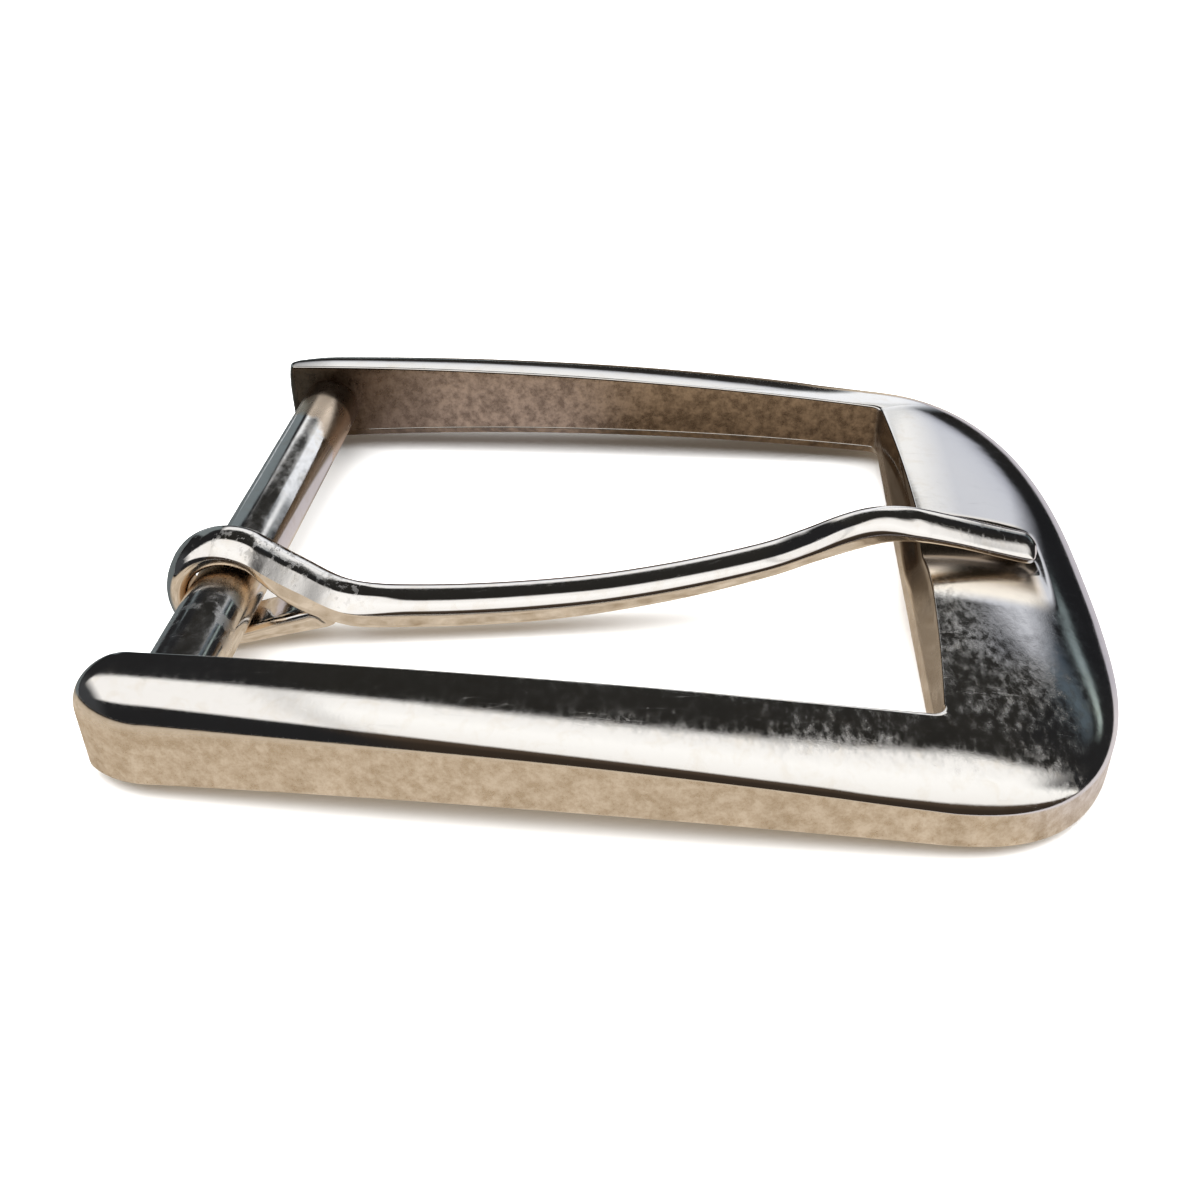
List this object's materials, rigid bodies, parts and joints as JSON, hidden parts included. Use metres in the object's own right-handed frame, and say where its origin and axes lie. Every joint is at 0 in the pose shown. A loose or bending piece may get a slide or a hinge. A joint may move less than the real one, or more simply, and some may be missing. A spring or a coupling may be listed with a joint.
{
  "type": "belt buckle",
  "caption": "Heel-bar belt buckle with a domed U-shaped frame, a round crossbar and a swinging curved prong.",
  "frame": {"origin": "the middle of the crossbar's axis", "axes": "+X from the crossbar to the front bar, +Y along the crossbar, +Z out of the buckle's face"},
  "size_m": [0.0574, 0.0472, 0.0076],
  "materials": {
    "nickel_casting": "polished nickel plate over a zinc casting",
    "nickel_bar": "polished nickel plate, lightly worn",
    "nickel_prong": "polished nickel plate, lightly worn"
  },
  "bodies": {
    "frame": {"buckle_frame": "nickel_casting", "crossbar": "nickel_bar"},
    "prong": {"prong": "nickel_prong"}
  },
  "joints": [
    {"name": "prong_swing", "type": "hinge", "parent": "frame", "child": "prong", "pos_m": [0, 0, 0], "axis": [0, -1, 0], "range_deg": [0, 350]}
  ]
}
